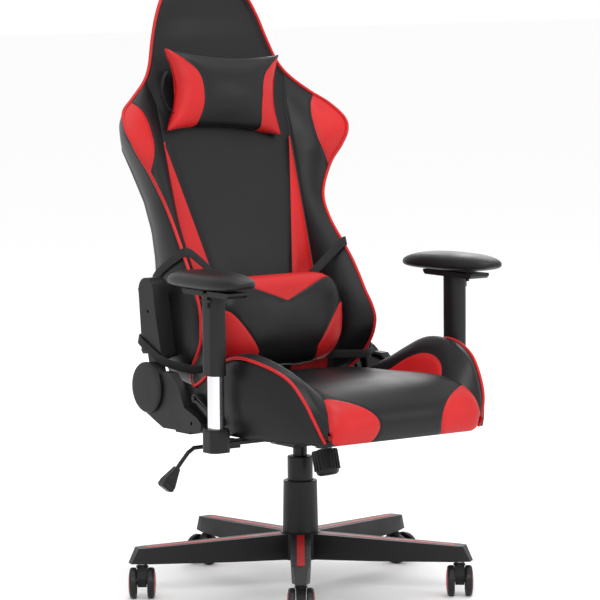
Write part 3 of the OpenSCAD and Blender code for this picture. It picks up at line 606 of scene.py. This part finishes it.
def make_lumbar_pillow():
    cells = [8, 7, 12, 7, 8]
    steps = 112
    points, grooves, paint = [], {}, []
    reds = []
    for i in range(steps):
        a = 2 * math.pi * i / steps
        round_off = 1.5 if math.sin(a) < 0 else 0.75
        forward = math.copysign(abs(math.cos(a)) ** round_off, math.cos(a))
        rise = math.copysign(abs(math.sin(a)) ** 0.72, math.sin(a))
        up = LUMBAR_MIDDLE.z + LUMBAR_HALF.z * rise
        in_front = math.cos(a) > -0.1
        opening = LUMBAR_V_HALF * (up - LUMBAR_V_TIP) / (LUMBAR_MIDDLE.z + LUMBAR_HALF.z - LUMBAR_V_TIP)
        widest = LUMBAR_V_HALF if opening > 0 else LUMBAR_SPREAD
        v_half = min(widest, max(LUMBAR_V_LEAST, abs(opening)))
        side = table(LUMBAR_SIDE, up) if in_front else LUMBAR_FULL
        side = min(LUMBAR_FULL, max(side, v_half + 2))
        if not in_front:
            v_half = LUMBAR_SPREAD
        reds.append((in_front and up > LUMBAR_V_TIP, in_front and up < LUMBAR_SIDE_TOP))
        places, marks = across([-LUMBAR_HALF.x, -side, -v_half, v_half, side, LUMBAR_HALF.x], cells)
        for x, mark in zip(places, marks):
            size = (1 - abs(x / LUMBAR_HALF.x) ** 7) ** 0.42
            sag = 1.5 * (x / LUMBAR_HALF.x) ** 2 * math.sin(7 * a)
            if mark in (2, 3) and reds[-1][0] or mark in (1, 4) and reds[-1][1]:
                grooves[len(points)] = 1.4
            depth = LUMBAR_MIDDLE.y + (LUMBAR_HALF.y + sag) * forward * size
            depth += LUMBAR_TIP * LUMBAR_HALF.z * rise
            points.append(on_back(x, max(depth, PILLOW_BACK),
                                  LUMBAR_MIDDLE.z + LUMBAR_HALF.z * rise * size))
    count = len(points) // steps
    faces = []
    tags = stretch_of(cells)
    for i in range(steps):
        k = (i + 1) % steps
        v_red = reds[i][0] and reds[k][0]
        side_red = reds[i][1] and reds[k][1]
        for j in range(count - 1):
            faces.append((i * count + j, i * count + j + 1, k * count + j + 1, k * count + j))
            red = tags[j] == 2 and v_red or tags[j] in (0, 4) and side_red
            paint.append(RED if red else BLACK)
    piece = make_piece("lumbar_cushion", points, faces, LEATHERS, paint, grooves)
    puff(piece, pressure=1.0, cap=5, slack=0.04)
    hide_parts("lumbar_pillow")
    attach(piece, "back")


def band(name, path, across_to, width, thick):
    """A flat strap with rounded edges; across_to gives its width direction at each point."""
    section = [(-0.5, -0.3), (-0.42, -0.5), (0.42, -0.5), (0.5, -0.3), (0.5, 0.3), (0.42, 0.5),
               (-0.42, 0.5), (-0.5, 0.3)]
    points = []
    for i, point in enumerate(path):
        along = (path[min(i + 1, len(path) - 1)] - path[max(i - 1, 0)]).normalized()
        wide = across_to[i]
        wide = (wide - along * wide.dot(along)).normalized()
        face = along.cross(wide)
        points += [point + wide * width * a + face * thick * b for a, b in section]
    piece = make_piece(name, points, ring_faces(len(path), len(section)), [ELASTIC])
    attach(piece, "back")
    return piece


STRAP_WIDTH, STRAP_THICK = 17, 1.8
LOOP_WIDTH, LOOP_THICK = 9, 1.5


def make_straps():
    up_lean = on_back(0, 0, 1) - on_back(0, 0, 0)
    for name, s in SIDES.items():
        upper = [(112, 84, 184), (134, 92, 202), (160, 100, 222), (184, 105, 239), (195, 104, 243),
                 (199, 97, 242), (204, 70, 236), (203, 20, 226), (194, -22, 218), (180, -42, 215),
                 (150, -49, 213), (70, -50, 212), (0.5, -50, 212)]
        path = smooth_curve([on_back(s * x, f, u) for x, f, u in upper], 4)
        band(f"strap_upper_{name}", path, [up_lean] * len(path),
                           STRAP_WIDTH, STRAP_THICK)
        lower = [(112, 74, 448), (140, 63, 446), (172, 54, 444), (200, 52, 443), (218, 58, 444),
                 (238, 82, 450), (253, 108, 459), (254.5, 130, 468), (254.5, 155, 479), (254, 180, 490),
                 (245, 199, 494), (222, 208, 493), (165, 213, 490), (80, 215, 488), (0.5, 215, 488)]
        path = smooth_curve([(s * x, y, z) for x, y, z in lower], 4)
        band(f"strap_lower_{name}", path, [Vector((0, -0.3, 1))] * len(path),
                           STRAP_WIDTH, STRAP_THICK)
    loop = [(-134, 62, 618), (-143, 60, 606), (-150, 57, 585), (-151, 56, 566), (-145, 57, 546),
            (-134, 60, 534)]
    path = smooth_curve([on_back(*p) for p in loop], 5)
    band("head_strap_loop", path, [Vector((0, 1, 0.2))] * len(path),
                       LOOP_WIDTH, LOOP_THICK)
    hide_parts("pillow_straps")


# ---------- seat ----------

# The pad's outline from the side: backwards and up
PAD_SIDE = [(76, 350), (80, 380), (77, 404), (60, 416), (10, 421), (-90, 425), (-180, 430), (-240, 431),
            (-288, 425), (-322, 412), (-345, 394), (-356, 372), (-354, 352), (-347, 338), (-338, 333),
            (-328, 338), (-300, 341), (-150, 341), (0, 341), (60, 343)]
PAD_HALF = 182
PAD_ROUND = 26
# The pad's crown fades out between two heights on its front
PAD_CROWN = 7
CROWN_LOW, CROWN_RISE = 336, 50
# The red corners are on the front only; behind it the same columns keep one width
PAD_FRONT = -295
PAD_COLUMN = 172
PAD_RED = rounded_table([(332, 84), (345, 78), (360, 74), (375, 76), (388, 86), (398, 100), (407, 120),
                         (415, 146), (421, 172)])


def make_seat_pad():
    cells = [9, 26, 9]
    profile = smooth_curve([(0, y, z) for y, z in PAD_SIDE], 5, closed=True)
    points, grooves, paint, reds = [], {}, [], []
    n = len(profile)
    turn = sum(profile[i - 1].y * p.z - p.y * profile[i - 1].z for i, p in enumerate(profile))
    for i, place in enumerate(profile):
        along = (profile[(i + 1) % n] - profile[i - 1]).normalized()
        out = Vector((0, along.z, -along.y)) * math.copysign(1, turn)
        front = place.y < PAD_FRONT
        red = table(PAD_RED, place.z) if front else PAD_COLUMN
        reds.append(front)
        places, marks = across([-PAD_HALF, -red, red, PAD_HALF], cells)
        for x, mark in zip(places, marks):
            s = abs(x)
            over = max(0, s - (PAD_HALF - PAD_ROUND)) / PAD_ROUND
            sink = PAD_ROUND * (1 - math.sqrt(max(0, 1 - over * over)))
            fade = max(0, min(1, (place.z - CROWN_LOW) / CROWN_RISE))
            crown = PAD_CROWN * (1 - (s / PAD_HALF) ** 2) * fade
            if mark in (1, 2) and front:
                grooves[len(points)] = 1.8
            points.append(Vector((x, place.y, place.z)) + out * (crown - sink))
    count = len(points) // n
    faces = []
    tags = stretch_of(cells)
    for i in range(n):
        k = (i + 1) % n
        for j in range(count - 1):
            faces.append((i * count + j, i * count + j + 1, k * count + j + 1, k * count + j))
            paint.append(RED if tags[j] in (0, 2) and reds[i] and reds[k] else BLACK)
    for j in (0, count - 1):
        faces.append(tuple(i * count + j for i in range(n)))
        paint.append(BLACK)
    piece = make_piece("seat_pad_cover", points, faces, LEATHERS, paint, grooves)
    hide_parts("seat_cushion")
    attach(piece, "seat")


# Five lines that run along a seat wing from the rear to the front: piped edge, ridge, foot on the
# pad, outer hem and inner hem
WING_PIPING = [(236, 42, 394), (242, 20, 411), (246, -20, 430), (249, -65, 458), (251, -110, 479),
               (250, -150, 487), (245, -190, 484), (232, -242, 470), (220, -278, 450), (210, -308, 414),
               (202, -322, 385), (192, -328, 360), (183, -332, 340)]
WING_RIDGE = [(212, 46, 400), (214, 24, 424), (215, -20, 446), (216, -65, 468), (217, -110, 486),
              (217, -150, 492), (214, -194, 488), (206, -250, 471), (198, -290, 449), (191, -318, 415),
              (186, -335, 386), (181, -341, 362), (178, -338, 342)]
WING_FOOT = [(180, 42, 392), (174, 20, 410), (170, -20, 414), (168, -65, 416), (167, -110, 419),
             (166, -150, 421), (164, -190, 423), (161, -228, 425), (157, -266, 423), (154, -300, 414),
             (157, -326, 398), (163, -341, 374), (170, -340, 348)]
WING_OUTER = [(232, 38, 344), (238, 20, 339), (243, -20, 337), (248, -65, 336), (250, -110, 336),
              (250, -150, 336), (249, -190, 336), (240, -235, 336), (228, -275, 337), (214, -305, 338),
              (206, -318, 338), (200, -325, 338), (190, -332, 339)]
WING_INNER = [(188, 38, 346), (185, 20, 342), (184, -20, 341), (184, -65, 340), (184, -110, 340),
              (184, -150, 340), (184, -190, 340), (184, -235, 340), (184, -275, 340), (184, -305, 340),
              (184, -320, 340), (184, -328, 340), (184, -333, 340)]
# Top of the red half moon: how far up the inner face it reaches, by place along the seat
MOON_FRONT, MOON_REAR = -255, -40
MOON_LEAST = 0.03
# How far the outer face of a wing bulges, as a share of its height
WING_BULGE = 0.075
HALF_MOON = rounded_table([(-255, 0.03), (-243, 0.24), (-220, 0.45), (-185, 0.57), (-140, 0.57), (-95, 0.42),
                           (-65, 0.22), (-40, 0.03)])


def make_seat_wing(name, s):
    steps = 6
    lines = [smooth_curve([(s * x, y, z) for x, y, z in line], steps)
             for line in (WING_INNER, WING_FOOT, WING_RIDGE, WING_PIPING, WING_OUTER)]
    inner_cells, moon_cells, top_cells, outer_cells, hem_cells = 3, 7, 12, 12, 3
    points, grooves, paint, reds = [], {}, [], []
    tags = []
    for inner, foot, ridge, piping, outer in zip(*lines):
        middle_y = (foot.y + ridge.y) / 2
        in_moon = MOON_FRONT < middle_y < MOON_REAR
        moon = table(HALF_MOON, middle_y) if in_moon else MOON_LEAST
        reds.append(in_moon)
        face = smooth_curve([foot, foot.lerp(ridge, 0.5) + Vector((-s * 4, 0, 2)), ridge,
                             ridge.lerp(piping, 0.5) + Vector((0, 0, 3.5)), piping], 12)
        cut = max(0.5, (len(face) - 1) / 2 * moon)
        tags = ["hidden"] * inner_cells
        row = [inner.lerp(foot, k / inner_cells) for k in range(inner_cells)]
        ids = [cut * k / moon_cells for k in range(moon_cells)]
        ids += [cut + (len(face) - 1 - cut) * k / top_cells for k in range(top_cells)]
        for number, index in enumerate(ids):
            low = int(index)
            row.append(face[low].lerp(face[min(low + 1, len(face) - 1)], index - low))
            if number == moon_cells and in_moon:
                grooves[len(points) + len(row) - 1] = 1.6
        tags += ["moon"] * moon_cells + ["top"] * top_cells
        out = Vector((s, -0.15, 0)).normalized()
        height = (piping - outer).length
        for k in range(outer_cells):
            t = k / outer_cells
            row.append(piping.lerp(outer, t) + out * WING_BULGE * height * 4 * t * (1 - t))
        tags += ["outer"] * outer_cells
        row += [outer.lerp(inner, k / hem_cells) for k in range(hem_cells)]
        tags += ["hidden"] * hem_cells
        points += row
    count = len(tags)
    rows = len(lines[0])
    for i in range(rows - 1):
        paint += [RED if tag == "moon" and reds[i] and reds[i + 1] else BLACK for tag in tags]
    piece = make_piece(f"seat_wing_cover_{name}", points, ring_faces(rows, count), LEATHERS,
                       paint + [BLACK, BLACK], grooves)
    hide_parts(f"seat_wing_{name}")
    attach(piece, "seat")
    cord = [p + Vector((s * 1.5, -0.5, 1.0)) for p in lines[3]]
    piping = tube(f"seat_piping_{name}", cord, PIPING_RADIUS, RED_LEATHER)
    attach(piping, "seat")


# ---------- armrests ----------

PAD_LENGTH = 264
PAD_WIDTH = 94
PAD_TOE = math.radians(3.5)
PAD_LOW, PAD_MIDDLE, PAD_TOP = 619.2, 633, 655
# Towards its ends the pad's top drops, its middle sinks, and the front end lifts
PAD_DROP = 14
PAD_END_MIDDLE = 630
PAD_LIFT = 7


def make_arm_pad(name, s):
    """A soft moulded pad: each cross-section is a flattened round, arched on top."""
    node_low, node_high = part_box(f"arm_pad_{name}")
    middle = (node_low + node_high) / 2 / MM
    steps, sides = 44, 40
    points = []
    for i in range(steps + 1):
        t = -math.cos(math.pi * i / steps)
        y = t * PAD_LENGTH / 2
        size = max(0.02, (1 - abs(t) ** 2.7) ** 0.45)
        thin = max(0.02, (1 - abs(t) ** 7) ** 0.5)
        top = PAD_TOP - PAD_DROP * abs(t) ** 2.2
        core = lerp(PAD_MIDDLE, PAD_END_MIDDLE, abs(t))
        for k in range(sides):
            a = 2 * math.pi * k / sides
            x = math.copysign(abs(math.cos(a)) ** 0.8, math.cos(a)) * PAD_WIDTH / 2 * size
            rise = math.sin(a)
            lift = (top - core) * abs(rise) ** 0.85 if rise > 0 else -(core - PAD_LOW) * abs(rise) ** 0.6
            z = core + lift * thin + PAD_LIFT * max(0, -t) ** 1.6
            turn = s * PAD_TOE
            points.append(Vector((middle.x + x * math.cos(turn) - y * math.sin(turn),
                                  middle.y + x * math.sin(turn) + y * math.cos(turn), z)))
    piece = make_piece(f"arm_cushion_{name}", points, ring_faces(steps + 1, sides), [PAD_FOAM])
    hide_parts(f"arm_pad_{name}")
    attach(piece, f"arm_{name}")


# ---------- the CAD parts that stay ----------


WELD_DISTANCE = 0.00002
BEVEL_ANGLE = math.radians(32)


def dress(node, material, bevel):
    """Gives a CAD node its material, and rounds its edges by a small bevel."""
    part = frame["nodes"][node]
    part.data.materials.clear()
    part.data.materials.append(material)
    if "custom_normal" in part.data.attributes:
        part.data.attributes.remove(part.data.attributes["custom_normal"])
    for polygon in part.data.polygons:
        polygon.use_smooth = True
    weld = part.modifiers.new("Weld", "WELD")
    weld.merge_threshold = WELD_DISTANCE
    if bevel:
        edge = part.modifiers.new("Bevel", "BEVEL")
        edge.width = bevel * MM
        edge.segments = 2
        edge.limit_method = "ANGLE"
        edge.angle_limit = BEVEL_ANGLE
        edge.use_clamp_overlap = True
    shade = part.modifiers.new("Shade", "WEIGHTED_NORMAL")
    shade.keep_sharp = False


DRESS = [
    (NYLON, 1.2, ["star_base", "back_arm_covers", "recliner_cover_right", "recliner_cover_left",
                  "recliner_caps"]),
    (NYLON, 0.6, ["arm_sleeve_right", "arm_sleeve_left", "arm_trigger_right", "arm_trigger_left",
                  "column_cover", "guide_bush"]),
    (SMOOTH_PLASTIC, 0.5, ["tension_knob", "lift_lever_grip"]),
    (RED_PLASTIC, 0.3, ["leg_inlays"]),
    (STEEL_PAINT, 0.6, ["back_frame", "tilt_housing", "seat_plate", "seat_frame", "arm_bracket_right",
                        "arm_bracket_left", "recliner_plates", "recline_lever"]),
    (STEEL_PAINT, 0.0, ["gas_cylinder", "lift_lever"]),
    (BRIGHT_STEEL, 0.3, ["thrust_bearing", "caster_stems", "piston_rod", "release_pin", "tilt_pin",
                         "seat_bolts"]),
    (BRIGHT_STEEL, 0.0, ["tilt_spring", "recline_spring"]),
    (SMOOTH_PLASTIC, 0.0, ["lift_tube"]),
    (CHROME, 0.0, ["arm_tube_right", "arm_tube_left"]),
]


def dress_parts():
    for material, bevel, nodes in DRESS:
        for node in nodes:
            dress(node, material, bevel)
    for i in range(1, 6):
        dress(f"caster_fork_{i}", NYLON, 0.6)
        dress(f"caster_wheels_{i}", WHEEL_PLASTIC, 0.4)
        dress(f"caster_caps_{i}", RED_PLASTIC, 0.3)


# ---------- everything ----------

make_camera()
make_studio()
dress_parts()
make_backrest()
make_head_pillow()
make_lumbar_pillow()
make_straps()
make_seat_pad()
for side_name, side_sign in SIDES.items():
    make_seat_wing(side_name, side_sign)
    make_arm_pad(side_name, side_sign)
